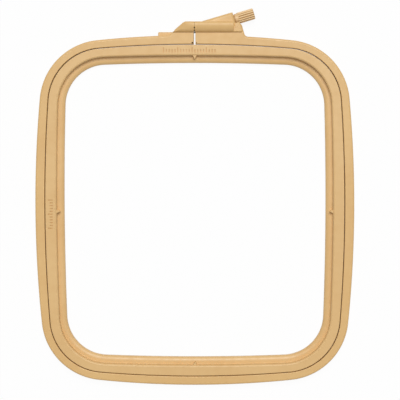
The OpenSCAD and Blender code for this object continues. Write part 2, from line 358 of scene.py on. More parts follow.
rings = {
    "height": 10.0,
    "ledgeHeight": 5.0,
    # half width, half height, side radius, end radius, corner radius
    "rim": (118.399, 130.199, 875, 700, 47.5),  # outside of the outer ring
    "wall": (111.5, 123.7, 1125, 850, 41),  # and its inside
    "face": (111.0, 123.2, 1125, 850, 41),  # outside of the inner ring's raised face
    "step": (102.8, 115.4, 2100, 1900, 36),  # where the face drops to the ledge
    "opening": (97.5, 110.0, 2400, 1700, 30.5),
    "rimRound": 1.4,
    "edgeRound": 0.5,
    "stepRound": 1.1,
    "coveRound": 0.4,
    "ledgeRound": 3.2,  # the ledge bends down towards the opening over this width
    "ledgeFall": 2.0,
    "openingEdge": 1.0,
    "hold": 0.15,  # pins the flat beside each rounding, so that it shades flat
    "sideSteps": 16,
    "cornerSteps": 30,
    "bendSteps": 12,
}


def cornerCentre(sizes):
    # the circle that touches both the side's arc and the end's arc
    halfX, halfY, sideR, endR, cornerR = sizes
    sideX, endY = halfX - sideR, halfY - endR
    side, end, apart = sideR - cornerR, endR - cornerR, math.hypot(sideX, endY)
    along = (side ** 2 - end ** 2 + apart ** 2) / (2 * apart)
    out = math.sqrt(side ** 2 - along ** 2)
    ux, uy = -sideX / apart, endY / apart
    return sideX + ux * along - uy * out, uy * along + ux * out


def outline(sizes):
    # (point, outward direction) all the way round, starting at +X
    halfX, halfY, sideR, endR, cornerR = sizes
    x, y = cornerCentre(sizes)
    side, end = math.atan2(y, x - halfX + sideR), math.atan2(y - halfY + endR, x)
    steps = rings["sideSteps"]
    arcs = [
        ((halfX - sideR, 0), sideR, 0, side, steps),
        ((x, y), cornerR, side, end, rings["cornerSteps"]),
        ((0, halfY - endR), endR, end, math.pi / 2, steps),
    ]
    quarter = []
    for centre, radius, first, last, count in arcs:
        for i in range(count):
            a = first + (last - first) * i / count
            u = Vector((math.cos(a), math.sin(a)))
            quarter.append((Vector(centre) + u * radius, u))
    quarter.append((Vector((0, halfY)), Vector((0, 1))))
    last = len(quarter) - 1
    there, back = range(last), range(last, 0, -1)
    around = []
    for sx, sy, order in ((1, 1, there), (-1, 1, back), (-1, -1, there), (1, -1, back)):
        around += [[Vector((v.x * sx, v.y * sy)) for v in quarter[i]] for i in order]
    return around


def quarterRound(rail, x, z, radius, first, last, steps=5):
    # one rounded edge of a section as (distance outwards, rail, height), with a held flat at both ends;
    # first and last are the angles at which it starts and stops
    points = []
    for i in range(steps + 1):
        a = math.radians(first + (last - first) * i / steps)
        points.append((x + radius * math.cos(a), rail, z + radius * math.sin(a)))
    turn = math.copysign(1, last - first) * rings["hold"]
    before, after = math.radians(first), math.radians(last)
    points.insert(0, (points[0][0] + turn * math.sin(before), rail, points[0][2] - turn * math.cos(before)))
    points.append((points[-1][0] - turn * math.sin(after), rail, points[-1][2] + turn * math.cos(after)))
    return points


def loftTree():
    # a closed tube whose row r at station s lies on the rail that row r names, at that station
    tree, given = newTree("loftRing", {
        "Rails": "Object", "Section": "Object", "Stations": "Int", "Rows": "Int", "Material": "Material"})
    rails = addNode(tree, "GeometryNodeObjectInfo", {"Object": given["Rails"]}).outputs["Geometry"]
    section = addNode(tree, "GeometryNodeObjectInfo", {"Object": given["Section"]}).outputs["Geometry"]
    way = addNode(tree, "GeometryNodeCurvePrimitiveCircle", {"Resolution": given["Stations"]})
    profile = addNode(tree, "GeometryNodeCurvePrimitiveCircle", {"Resolution": given["Rows"]})
    tube = addNode(tree, "GeometryNodeCurveToMesh", {
        "Curve": way.outputs[0], "Profile Curve": profile.outputs[0]})
    index = addNode(tree, "GeometryNodeInputIndex").outputs[0]
    row = addNode(tree, "ShaderNodeMath", {0: index, 1: given["Rows"]}, operation="MODULO").outputs[0]
    part = addNode(tree, "ShaderNodeMath", {0: index, 1: given["Rows"]}, operation="DIVIDE").outputs[0]
    station = addNode(tree, "ShaderNodeMath", {0: part}, operation="FLOOR").outputs[0]
    where = addNode(tree, "GeometryNodeInputPosition").outputs[0]
    point = addNode(tree, "GeometryNodeSampleIndex", {"Geometry": section, "Value": where, "Index": row},
                    data_type="FLOAT_VECTOR")
    offset, rail, height = addNode(tree, "ShaderNodeSeparateXYZ", {0: point.outputs[0]}).outputs
    spot = addNode(tree, "ShaderNodeMath", {0: rail, 1: given["Stations"], 2: station},
                   operation="MULTIPLY_ADD")
    outward = addNode(tree, "GeometryNodeInputNamedAttribute", {"Name": "outward"}, data_type="FLOAT_VECTOR")
    base = addNode(tree, "GeometryNodeSampleIndex", {
        "Geometry": rails, "Value": where, "Index": spot.outputs[0]}, data_type="FLOAT_VECTOR")
    out = addNode(tree, "GeometryNodeSampleIndex", {
        "Geometry": rails, "Value": outward.outputs["Attribute"],
        "Index": spot.outputs[0]}, data_type="FLOAT_VECTOR")
    moved = addNode(tree, "ShaderNodeVectorMath", {0: out.outputs[0], "Scale": offset}, operation="SCALE")
    lifted = addNode(tree, "ShaderNodeCombineXYZ", {"Z": height})
    first = addNode(tree, "ShaderNodeVectorMath", {0: base.outputs[0], 1: moved.outputs[0]}, operation="ADD")
    total = addNode(tree, "ShaderNodeVectorMath", {0: first.outputs[0], 1: lifted.outputs[0]},
                    operation="ADD")
    placed = addNode(tree, "GeometryNodeSetPosition", {
        "Geometry": tube.outputs[0], "Position": total.outputs[0]})
    endTree(tree, placed.outputs[0], given["Material"])
    return tree


def loftRing(name, rails, section, material):
    stations = [outline(rings[rail]) for rail in rails]
    count = len(stations[0])
    points = [(*point, 0) for rail in stations for point, outward in rail]
    path = meshPiece(name + "Rails", points, [])
    directions = path.data.attributes.new("outward", "FLOAT_VECTOR", "POINT")
    outwards = [v for rail in stations for point, outward in rail for v in (*outward, 0)]
    directions.data.foreach_set("vector", outwards)
    # the section's middle value is a rail's number, so it isn't scaled to metres
    shape = meshPiece(name + "Section", [(x, rails.index(rail) * 1000, z) for x, rail, z in section], [])
    ring = runTree(name, loftTree(), {
        "Rails": path, "Section": shape, "Stations": count, "Rows": len(section), "Material": material})
    for helper in (path, shape):
        bpy.data.objects.remove(helper)
    return cleanShell(ring)


top, ledge = rings["height"], rings["ledgeHeight"]
rimR, edgeR, stepR = rings["rimRound"], rings["edgeRound"], rings["stepRound"]
coveR, lipR, fall, lowR = rings["coveRound"], rings["ledgeRound"], rings["ledgeFall"], rings["openingEdge"]
bend = [(lipR * (1 - math.sin(a)), "opening", ledge - fall * (1 - math.cos(a)))
        for a in quarterTurn(rings["bendSteps"])]

outerRing = loftRing("outerRing", ["rim", "wall"], (
    quarterRound("rim", -edgeR, edgeR, edgeR, -90, 0)
    + quarterRound("rim", -rimR, top - rimR, rimR, 0, 90, steps=8)
    + quarterRound("wall", edgeR, top - edgeR, edgeR, 90, 180)
    + quarterRound("wall", edgeR, edgeR, edgeR, 180, 270)
), ringPlastic)

innerRing = loftRing("innerRing", ["face", "step", "opening"], (
    quarterRound("face", -edgeR, edgeR, edgeR, -90, 0)
    + quarterRound("face", -edgeR, top - edgeR, edgeR, 0, 90)
    + quarterRound("step", stepR, top - stepR, stepR, 90, 180, steps=6)
    + quarterRound("step", -coveR, ledge + coveR, coveR, 0, -90, steps=6)[:-1]
    + bend
    + quarterRound("opening", lowR, lowR, lowR, 180, 270)
), innerPlastic)


print("clamp block")

screw = {
    "tilt": 16.5,
    "y": 133.2,
    "z": 5.6,
    "diameter": 3.0,
    "hole": 3.16,
    "tail": 14.0,  # how far it reaches past the split
    "tailRoom": 1.0,
    "tipChamfer": 0.5,
    "pitch": 0.5,
    "root": 1.2,  # radius of the thread's core
    "seat": 9.0,  # how deep it sits in the knob's grip
    "stepsPerTurn": 20,
    "runout": 0.6,  # the thread stops this short of either end
    "coreInNeck": 0.5,
    "shankOverCore": 0.2,
    "shankUnder": 0.04,  # thinner than the thread by this
    "threadUnder": 0.02,
}

block = {
    "rootY": 125.2,  # deep in the ring, so that the foot's own roundings stay hidden
    "creaseY": 132.4,  # where the raised part starts
    "topY": 140.1,
    "front": 11.5,
    "left": -7.6,  # the slope runs from here down to footX
    "footX": -19.3,
    "footFillet": 3.0,
    "footRun": (6.0, 9.0),  # two places past each fillet, where the foot still follows the rim
    "footSunk": 0.03,  # keeps the foot just inside the rim
    "round": 0.9,
    "backRound": 0.4,
    "corner": 1.1,
    "creaseCorner": 0.95,
    "shoulder": 5.0,  # rounds the slope into the top edge
    "lugRise": 2.5,  # the lug ends this far above the crease, where the raised part hides it
    "lugInset": 1.2,
    "lugStep": 0.1,
    "heelLength": 4.0,
    "heelFootX": 2.0,  # about how far past the heel's end its foot lies
    "heelTop": -4.5,  # across the screw, below the knob's neck
    "heelStep": 0.4,  # the raised part stands back from the lug by this
    "heelCorner": 1.5,
    "heelBack": 4.0,  # how far the heel runs back under the barrel
    "lipTop": -2.9,
    "lipBack": 9.9,
    "lipBackRound": 0.2,
    "lipSunk": 2.5,
    "lipInset": 0.05,
    "lipOver": 1.5,  # how far it runs back over the barrel's end
    "barrelStart": (3.0, -1.2),  # where the barrel's two long edges leave the raised part
    "barrelKnee": 22.0,
    "barrelSunk": 2.0,
    "barrelLength": 30.6,
    "barrelHalf": 5.3,  # half its width across the screw
    "barrelCorner": 0.8,
    "barrelRound": 2.2,
    "shelfLength": 7.6,
    "shelfIn": 6.0,  # hidden under the slope
    "shelfHeight": 7.0,
    "shelfRise": 2.3,
    "shelfCorner": 0.8,
    "shelfRound": 0.5,
}

boss = {
    "top": 13.999,
    "edgeRound": 2.4,  # the small round along the top edge
    "footY": 132.15,
    "drop": 4.2,  # from the crest down to the crease
    "low": 8.5,
    "right": 28.8,
    "endRound": 0.6,
    "endSlope": 18.0,  # its front falls to the left from the block's top corner
    "inset": 0.5,  # it stands this far back from the block's slope
}

split = {
    "width": 1.3,
    "slit": 0.16,  # the gap closes to this in the block
    "slitFrom": 131.0,
    "slitTo": 142.0,
    "throat": 0.45,  # how far the gap cuts into the block
    "mouth": 3.0,  # half width of the cutter inside the ring's wall
    "mouthStep": 0.1,
    "endRound": 0.4,
    "edge": 0.2,
    "clear": 0.01,  # the widest loops lie outside the ring's faces, so that no two faces lie in one plane
    "pitSides": 24,
    # places, radius and floor of the small round pits
    "pits": (((-0.1, 133.45), 0.5, 7.5), ((-0.1, 135.5), 0.55, 7.5), ((-1.6, 124.55), 0.6, 2.0),
             ((1.5, 124.55), 0.35, 6.0)),
}

nut = {
    "width": 5.5,
    "thickness": 1.8,
    "corner": 0.35,
    "chamfer": 0.3,
    "play": 0.04,
    "from": 6.0,  # its place along the screw, towards the tail
    "gap": 0.1,
}

slant = math.radians(screw["tilt"])
onScrew = (Matrix.Translation(mm(0, screw["y"], screw["z"])) @ Matrix.Rotation(slant, 4, "Z")
           @ Matrix.Rotation(math.pi / 2, 4, "Y"))


def alongScrew(s, t):
    # a point of the plan from its place along and across the screw
    along, up = math.cos(slant), math.sin(slant)
    return s * along - t * up, screw["y"] + s * up + t * along


def screwLineAt(s, y):
    # where the line square to the screw at s crosses the height y
    t = (y - screw["y"] - s * math.sin(slant)) / math.cos(slant)
    return alongScrew(s, t)


def rimEdge(x):
    # the outer ring's edge at its end, which is an arc
    halfY, endR = rings["rim"][1], rings["rim"][3]
    return halfY - endR + math.sqrt(endR ** 2 - x ** 2)


def onRim(x):
    return x, rimEdge(x) - block["footSunk"]


def softOutline(corners, inset, steps=6):
    # corners are (point, radius): each is drawn in along its mitre and turned into an arc
    smallest = 0.02  # an inset never closes an arc
    count = len(corners)
    points = [Vector(point) for point, radius in corners]
    result = []
    for i, (point, radius) in enumerate(corners):
        before = (points[i] - points[i - 1]).normalized()
        after = (points[(i + 1) % count] - points[i]).normalized()
        normals = [Vector((-v.y, v.x)) for v in (before, after)]
        bend = before.cross(after)
        middle = points[i] + (normals[0] + normals[1]) * inset / (1 + normals[0].dot(normals[1]))
        if radius == 0:
            result.append(middle)
            continue
        r = max(radius - inset, smallest) if bend > 0 else radius + inset
        turn = math.acos(max(-1, min(1, before.dot(after))))
        inward = math.copysign(1, bend) * (normals[0] + normals[1]).normalized()
        centre = middle + inward * r / math.cos(turn / 2)
        start = -normals[0] * math.copysign(r, bend)
        for k in range(steps + 1):
            a = math.copysign(turn, bend) * k / steps
            result.append(centre + Matrix.Rotation(a, 2) @ start)
    return result


def stackedLoops(name, corners, profile, steps=6):
    # a closed solid from (inset, height) pairs, lowest first
    loops = [softOutline(corners, inset, steps) for inset, height in profile]
    count = len(loops[0])
    points = [(p.x, p.y, height) for loop, (inset, height) in zip(loops, profile) for p in loop]
    faces = [tuple(range(count))[::-1], tuple(range(len(points) - count, len(points)))]
    for level in range(len(loops) - 1):
        for i in range(count):
            j = (i + 1) % count
            a, b = level * count, (level + 1) * count
            faces.append((a + i, a + j, b + j, b + i))
    return meshPiece(name, points, faces)


def plateProfile(low, high, lowRound, highRound, steps=6):
    # (inset, height) pairs of a plate with rounded edges
    angles = quarterTurn(steps)
    lower = [(lowRound * (1 - math.sin(a)), low + lowRound * (1 - math.cos(a))) for a in angles]
    upper = [(highRound * (1 - math.cos(a)), high - highRound * (1 - math.sin(a))) for a in angles]
    return lower + upper


def turned(name, profile, steps=48):
    # a closed ring or rod round the screw's axis from (radius, distance along it) points
    count = len(profile)
    points, faces = [], []
    for i in range(steps):
        a = 2 * math.pi * i / steps
        points += [(r * math.cos(a), r * math.sin(a), z) for r, z in profile]
        for k in range(count):
            j, m = (i + 1) % steps, (k + 1) % count
            if profile[k][0] or profile[m][0]:
                faces.append((i * count + k, i * count + m, j * count + m, j * count + k))
    piece = cleanShell(meshPiece(name, points, faces))
    piece.data.transform(onScrew)
    return piece


def rod(name, radius, first, last, steps=48):
    return turned(name, [(0, first), (radius, first), (radius, last), (0, last)], steps)


slope = math.atan2(block["topY"] - rimEdge(block["footX"]), block["left"] - block["footX"])


def slopeAt(y):
    return block["footX"] + (y - rimEdge(block["footX"])) / math.tan(slope), y


barrelEnd, heelEnd = block["barrelLength"], block["barrelLength"] + block["heelLength"]
heelX = screwLineAt(heelEnd, rimEdge(heelEnd + block["heelFootX"]))[0]
footX, corner = block["footX"], block["corner"]
near, far = block["footRun"]
lugTop = block["creaseY"] + block["lugRise"]

lugCorners = [
    ((footX - far, block["rootY"]), 0),
    ((heelX + far, block["rootY"]), 0),
    (onRim(heelX + far), 0),
    (onRim(heelX + near), 0),
    (onRim(heelX), block["footFillet"]),
    (alongScrew(heelEnd, block["heelTop"]), block["heelCorner"]),
    (alongScrew(barrelEnd - block["heelBack"], block["heelTop"]), 0),
    ((slopeAt(lugTop)[0] + block["lugInset"], lugTop), 0),
    (slopeAt(block["creaseY"] + block["lugStep"]), 0),
    (onRim(footX), block["footFillet"]),
    (onRim(footX - near), 0),
    (onRim(footX - far), 0),
]
lug = stackedLoops("lug", lugCorners, plateProfile(0, top, block["backRound"], rimR, steps=8), steps=10)

raisedEnd, raisedTop = heelEnd - 2 * block["heelStep"], block["heelTop"] - block["heelStep"]
raisedCorners = [
    (slopeAt(block["creaseY"]), block["creaseCorner"]),
    (screwLineAt(raisedEnd, block["creaseY"]), block["creaseCorner"]),
    (alongScrew(raisedEnd, raisedTop), corner),
    (alongScrew(barrelEnd - block["barrelRound"], raisedTop), 0),
    ((boss["right"], block["topY"]), 0),
    ((block["left"], block["topY"]), block["shoulder"]),
]
raised = stackedLoops("raised", raisedCorners,
                      plateProfile(0, block["front"], block["backRound"], block["round"]))

barrelStart, barrelLow = block["barrelStart"]
barrelFoot = block["heelTop"] - block["barrelSunk"]
barrelCorners = [
    (alongScrew(barrelStart, barrelLow), 0),
    (alongScrew(block["barrelKnee"], barrelFoot), 0),
    (alongScrew(barrelEnd, barrelFoot), 0),
    (alongScrew(barrelEnd, block["barrelHalf"]), block["barrelCorner"]),
    (alongScrew(barrelStart, block["barrelHalf"]), 0),
]
barrel = stackedLoops("barrel", barrelCorners,
                      plateProfile(0, block["front"], block["backRound"], block["barrelRound"], steps=8))

# a low lip carries the heel's face up over the front of the knob's neck, clear of it
lipFoot, lipEnd = block["heelTop"] - block["lipSunk"], raisedEnd - block["lipInset"]
lipStart = barrelEnd - block["lipOver"]
lipCorners = [
    (alongScrew(lipStart, lipFoot), 0),
    (alongScrew(lipEnd, lipFoot), 0),
    (alongScrew(lipEnd, block["lipTop"]), corner),
    (alongScrew(lipStart, block["lipTop"]), 0),
]
lip = stackedLoops("lip", lipCorners, plateProfile(block["lipBack"], block["front"] - block["lipInset"],
                                                   block["lipBackRound"], block["round"]))

shelfY = rings["rim"][1] + block["shelfRise"]
shelfLeft, shelfRight = footX - block["shelfLength"], footX + block["shelfIn"]
shelfCorners = [
    ((shelfLeft, block["rootY"]), 0),
    ((shelfRight, block["rootY"]), 0),
    ((shelfRight, shelfY), 0),
    ((shelfLeft, shelfY), block["shelfCorner"]),
]
shelf = stackedLoops("shelf", shelfCorners,
                     plateProfile(0, block["shelfHeight"], block["backRound"], block["shelfRound"]))


def bossSection(less, steps=20):
    # a small round at the top edge and a long one down to the crease, drawn in at the bar's end
    edge, low = boss["edgeRound"], boss["low"]
    crestY, foot = block["topY"] - edge, boss["footY"]
    section = [(block["topY"] - less, low)]
    arc, drop = quarterTurn(steps), boss["drop"]
    small, long, fall = edge - less, crestY - foot - less, drop - less
    smallZ, longZ = boss["top"] - edge, boss["top"] - drop
    section += [(crestY + small * math.cos(a), smallZ + small * math.sin(a)) for a in arc]
    section += [(crestY - long * math.sin(a), longZ + fall * math.cos(a)) for a in arc[1:]]
    return section + [(foot + less, low)]


def longBoss(steps=6):
    # a bar along the front, cut by the block's slope and by a plane that slopes down to the left
    left, right, soft = block["footX"], boss["right"], boss["endRound"]
    ends = [(right - soft + soft * math.sin(a), soft * (1 - math.cos(a))) for a in quarterTurn(steps)]
    ends.insert(0, (left, 0))
    points = [(x, y, z) for x, less in ends for y, z in bossSection(less)]
    count = len(bossSection(0))
    faces = [tuple(range(count)), tuple(range(len(points) - count, len(points)))[::-1]]
    for e in range(len(ends) - 1):
        for i in range(count):
            j = (i + 1) % count
            faces.append((e * count + i, (e + 1) * count + i, (e + 1) * count + j, e * count + j))
    bar = cleanShell(meshPiece("boss", points, faces))
    shell = bmesh.new()
    shell.from_mesh(bar.data)
    fall = math.radians(boss["endSlope"])
    cuts = (
        ((*slopeAt(block["creaseY"]), 0), Vector((-math.sin(slope), math.cos(slope), 0)), boss["inset"]),
        ((block["left"], 0, boss["top"]), Vector((-math.sin(fall), 0, math.cos(fall))), 0),
    )
    for place, normal, inset in cuts:
        everything = shell.verts[:] + shell.edges[:] + shell.faces[:]
        place = mm(*(Vector(place) - normal * inset))
        bmesh.ops.bisect_plane(shell, geom=everything, plane_co=place, plane_no=normal, clear_outer=True)
        rim = [edge for edge in shell.edges if edge.is_boundary]
        bmesh.ops.holes_fill(shell, edges=rim)
    bmesh.ops.recalc_face_normals(shell, faces=shell.faces)
    shell.to_mesh(bar.data)
    shell.free()
    return bar


combine(outerRing, [lug, shelf, raised, barrel, lip, longBoss()], "UNION")

half, gapEnd = split["width"] / 2, block["creaseY"] + split["throat"]
wide, wallY = split["mouth"], rings["wall"][1]
mouthY = wallY - split["mouthStep"]
slotCorners = [
    ((-wide, wallY - wide), 0),
    ((wide, wallY - wide), 0),
    ((wide, mouthY), 0),
    ((half, mouthY), split["endRound"]),
    ((half, gapEnd), 0),
    ((-half, gapEnd), 0),
    ((-half, mouthY), split["endRound"]),
    ((-wide, mouthY), 0),
]
grow, clear, high = split["edge"], split["clear"], boss["top"] + past
slot = stackedLoops("slot", slotCorners, [(-grow, -past), (-grow, -clear), (0, grow), (0, top - grow),
                                          (-grow, top + clear), (0, top + grow), (0, high)], steps=8)
narrow, low, up = split["slit"] / 2, split["slitFrom"], split["slitTo"]
slitCorners = [((-narrow, low), 0), ((narrow, low), 0), ((narrow, up), 0), ((-narrow, up), 0)]
slit = stackedLoops("slit", slitCorners, [(0, -past), (0, high)])
pits = []
around = [2 * math.pi * k / split["pitSides"] for k in range(split["pitSides"])]
for i, ((x, y), size, floorZ) in enumerate(split["pits"]):
    ring = [((x + size * math.cos(a), y + size * math.sin(a)), 0) for a in around]
    pits.append(stackedLoops(f"pit{i}", ring, [(0, floorZ), (0, high)]))

hole = rod("hole", screw["hole"] / 2, -screw["tail"] - screw["tailRoom"], barrelEnd + past)
side, gap, nutStart = nut["width"] / 2 + nut["gap"], nut["gap"], -nut["from"] - nut["thickness"]
spans = ((-side, screw["z"] + past), (-side, side), (nutStart - gap, gap - nut["from"]))
pocketMesh = bmesh.new()
bmesh.ops.create_cube(pocketMesh, size=1)
for vert in pocketMesh.verts:
    vert.co = mm(*(span[c > 0] for span, c in zip(spans, vert.co)))
pocket = newPiece("pocket", bpy.data.meshes.new("pocket"))
pocketMesh.to_mesh(pocket.data)
pocketMesh.free()
pocket.data.transform(onScrew)
combine(outerRing, [slot, slit, hole, pocket] + pits, "DIFFERENCE")
finishShading(outerRing, ringPlastic)


print("centre pointers and scale marks")

pointers = {
    "length": 3.0,
    "width": 3.0,
    "height": 4.2,
    "bevel": 0.35,
    "tipRound": 0.3,
    "root": 1.0,  # how far its root reaches into the step
    "sunk": 1.4,  # into the ledge
}

marks = {
    # middle of the row, number of marks, quarter turns
    "rows": (((-3.9, 119.3), 19, 0), ((-107.2, -1.9), 11, 1)),
    "spacing": 2.1,
    "width": 0.75,
    "long": 3.6,
    "short": 2.2,
    "every": 5,  # of so many marks the first is long
    "depth": 0.7,
    "taper": 0.5,  # share of its half width that a mark loses down to its floor
    "over": 0.05,  # the taper starts this far above the face
}


def pointerTree():
    # four copies of the dart, on the middle of each side of the step
    tree, given = newTree("pointerSet", {
        "Dart": "Object", "Half width": "Float", "Half height": "Float", "Material": "Material"})
    dart = addNode(tree, "GeometryNodeObjectInfo", {"Object": given["Dart"]}).outputs["Geometry"]
    circle = addNode(tree, "GeometryNodeMeshCircle", {"Vertices": 4, "Radius": 1.0})
    reach = addNode(tree, "ShaderNodeCombineXYZ", {
        "X": given["Half width"], "Y": given["Half height"], "Z": 1.0})
    where = addNode(tree, "GeometryNodeInputPosition").outputs[0]
    spot = addNode(tree, "ShaderNodeVectorMath", {0: where, 1: reach.outputs[0]}, operation="MULTIPLY")
    spread = addNode(tree, "GeometryNodeSetPosition", {
        "Geometry": circle.outputs[0], "Position": spot.outputs[0]})
    index = addNode(tree, "GeometryNodeInputIndex").outputs[0]
    angle = addNode(tree, "ShaderNodeMath", {0: index, 1: math.pi / 2}, operation="MULTIPLY")
    turn = addNode(tree, "ShaderNodeCombineXYZ", {"Z": angle.outputs[0]})
    copies = addNode(tree, "GeometryNodeInstanceOnPoints", {
        "Points": spread.outputs[0], "Instance": dart, "Rotation": turn.outputs[0]})
    endTree(tree, copies.outputs[0], given["Material"])
    return tree


def centrePointers():
    # a flat tooth with its root in the step and its tip towards the opening
    reach, root = pointers["length"], pointers["root"]
    half = pointers["width"] / 2 * (reach + root) / reach
    low, high = ledge - pointers["sunk"], ledge + pointers["height"]
    plan = [((root, -half), 0), ((root, half), 0), ((-reach, 0), pointers["tipRound"])]
    bevel = pointers["bevel"]
    dart = cleanShell(stackedLoops("dart", plan, [(0, low), (0, high - bevel), (bevel, high)], steps=4))
    step = rings["step"]
    four = runTree("pointers", pointerTree(), {
        "Dart": dart, "Half width": mm(step[0]), "Half height": mm(step[1]), "Material": innerPlastic})
    bpy.data.objects.remove(dart)
    return cleanShell(four)


def markTree():
    # a row of upright bars, of which every few is longer
    tree, given = newTree("markRow", {
        "Bar": "Object", "Marks": "Int", "Spacing": "Float", "Every": "Int", "Short share": "Float",
        "Material": "Material"})
    bar = addNode(tree, "GeometryNodeObjectInfo", {"Object": given["Bar"]}).outputs["Geometry"]
    gap = addNode(tree, "ShaderNodeCombineXYZ", {"X": given["Spacing"]})
    row = addNode(tree, "GeometryNodeMeshLine", {"Count": given["Marks"], "Offset": gap.outputs[0]})
    index = addNode(tree, "GeometryNodeInputIndex").outputs[0]
    turnOf = addNode(tree, "ShaderNodeMath", {0: index, 1: given["Every"]}, operation="MODULO")
    plain = addNode(tree, "ShaderNodeMath", {0: turnOf.outputs[0], 1: 1.0}, operation="MINIMUM")
    reach = addNode(tree, "ShaderNodeMapRange", {
        "Value": plain.outputs[0], "To Min": 1.0, "To Max": given["Short share"]})
    size = addNode(tree, "ShaderNodeCombineXYZ", {"X": 1.0, "Y": reach.outputs[0], "Z": 1.0})
    copies = addNode(tree, "GeometryNodeInstanceOnPoints", {
        "Points": row.outputs[0], "Instance": bar, "Scale": size.outputs[0]})
    endTree(tree, copies.outputs[0], given["Material"])
    return tree


def markRow(centre, count, quarterTurns):
    # sunk into the ring's face
    w, long, deep, over = marks["width"] / 2, marks["long"], marks["depth"], marks["over"]
    plan = [((-w, 0), 0), ((w, 0), 0), ((w, long), 0), ((-w, long), 0)]
    bar = cleanShell(stackedLoops("bar", plan, [(w * marks["taper"], -deep), (0, over), (0, deep)]))
    row = runTree("markRow", markTree(), {
        "Bar": bar, "Marks": count, "Spacing": mm(marks["spacing"]), "Every": marks["every"],
        "Short share": marks["short"] / long, "Material": innerPlastic})
    bpy.data.objects.remove(bar)
    half = marks["spacing"] * (count - 1) / 2
    turn = Matrix.Rotation(math.pi / 2 * quarterTurns, 4, "Z")
    middle = Matrix.Translation(mm(-half, -long / 2, 0))
    row.data.transform(Matrix.Translation(mm(*centre, top)) @ turn @ middle)
    return cleanShell(row)


combine(innerRing, [centrePointers()], "UNION")
combine(innerRing, [markRow(*row) for row in marks["rows"]], "DIFFERENCE")
finishShading(innerRing, innerPlastic)


print("screw, nut, washer and knob")

washer = {"outer": 7.0, "thickness": 0.6, "round": 0.15, "roundSteps": 4}

knob = {
    "radius": 4.15,
    "grip": 12.6,
    "neckRadius": 3.8,
    "neck": 1.8,  # the smooth length below the grip
    "ribs": 14,  # two fewer than the 16 of the CAD knob, a little coarser so that they show
    "ribDepth": 0.2,  # share of the radius
    "chamfer": 0.7,
    "neckRound": 0.3,
    "stepsPerRib": 12,
    "lengthSteps": 6,
    "chamferSteps": 3,
    "sharpness": 2.6,  # above 1 the grooves are narrower than the ribs
    # the painted shade in the knob's grooves: its colour and the most of it that is mixed in
    "grooveShade": "#94642F",
    "grooveShadeShare": 0.75,
    "unshaded": 0.3,  # share of a groove's depth that stays free of the painted shade
}

# the knob's plastic carries painted shade in its grooves
knobPlastic = mouldedPlastic("mouldedPlasticKnob", plastic["knob"], {
    "point": mm(0, screw["y"], screw["z"]),
    "direction": (math.cos(slant), math.sin(slant), 0),
    "unshaded": mm(knob["radius"] * (1 - knob["ribDepth"] * knob["unshaded"])),
    "bottom": mm(knob["radius"] * (1 - knob["ribDepth"])),
    "colour": knob["grooveShade"],
    "share": knob["grooveShadeShare"],
})


def threadTree():
    # one ridge with a three-cornered section, wound round the screw's core
    tree, given = newTree("screwThread", {
        "Core radius": "Float", "Outer radius": "Float", "Pitch": "Float", "Length": "Float",
        "Steps per turn": "Int", "Material": "Material"})
    turns = addNode(tree, "ShaderNodeMath", {0: given["Length"], 1: given["Pitch"]}, operation="DIVIDE")
    helix = addNode(tree, "GeometryNodeCurveSpiral", {
        "Resolution": given["Steps per turn"], "Rotations": turns.outputs[0],
        "Start Radius": given["Core radius"], "End Radius": given["Core radius"], "Height": given["Length"]})
    upright = addNode(tree, "GeometryNodeSetCurveNormal", {"Curve": helix.outputs[0]})
    upright.mode = "Z_UP"
    depth = addNode(tree, "ShaderNodeMath", {0: given["Outer radius"], 1: given["Core radius"]},
                    operation="SUBTRACT")
    ridge = addNode(tree, "GeometryNodeCurvePrimitiveCircle", {"Resolution": 3, "Radius": depth.outputs[0]})
    wound = addNode(tree, "GeometryNodeCurveToMesh", {
        "Curve": upright.outputs[0], "Profile Curve": ridge.outputs[0], "Fill Caps": True})
    endTree(tree, wound.outputs[0], given["Material"])
    return tree


neckEnd = barrelEnd + washer["thickness"]
coreEnd = neckEnd + screw["coreInNeck"]
outer, core = screw["diameter"] / 2, screw["root"]
tail, chamfer, runout = screw["tail"], screw["tipChamfer"], screw["runout"]
shaft = turned("clampScrew", [(0, -tail), (core - chamfer, -tail), (core, chamfer - tail), (core, coreEnd),
                              (0, coreEnd)])
shank = rod("shank", outer - screw["shankUnder"], coreEnd - screw["shankOverCore"],
            neckEnd + knob["neck"] + screw["seat"])
thread = runTree("thread", threadTree(), {
    "Core radius": mm(core), "Outer radius": mm(outer - screw["threadUnder"]), "Pitch": mm(screw["pitch"]),
    "Length": mm(coreEnd + tail - 2 * runout), "Steps per turn": screw["stepsPerTurn"],
    "Material": platedSteel})
thread.data.transform(onScrew @ Matrix.Translation(mm(0, 0, runout - tail)))
cleanShell(thread)


def thrustWasher():
    # a flat ring with rounded edges
    inner, rim, soft, profile = screw["hole"] / 2, washer["outer"] / 2, washer["round"], []
    for r, z, start in ((rim - soft, barrelEnd + soft, -90), (rim - soft, neckEnd - soft, 0),
                        (inner + soft, neckEnd - soft, 90), (inner + soft, barrelEnd + soft, 180)):
        for a in quarterTurn(washer["roundSteps"]):
            a += math.radians(start)
            profile.append((r + soft * math.cos(a), z + soft * math.sin(a)))
    return turned("thrustWasher", profile, steps=64)


def squareNut():
    # pressed from flat bar: softened corners and a chamfered hole
    h, t, soft = nut["width"] / 2, nut["thickness"], nut["chamfer"]
    corners = [((x, y), nut["corner"]) for x, y in ((-h, -h), (h, -h), (h, h), (-h, h))]
    body = stackedLoops("captiveNut", corners, plateProfile(0, t, soft, soft, steps=4), steps=4)
    body.data.transform(onScrew @ Matrix.Translation(mm(0, 0, nutStart)))
    bore, start, end = outer + nut["play"], nutStart, nutStart + t
    wide = bore + soft
    profile = [(0, start - past), (wide, start - past), (wide, start), (bore, start + soft),
               (bore, end - soft), (wide, end), (wide, end + past), (0, end + past)]
    return combine(body, [turned("bore", profile)], "DIFFERENCE")


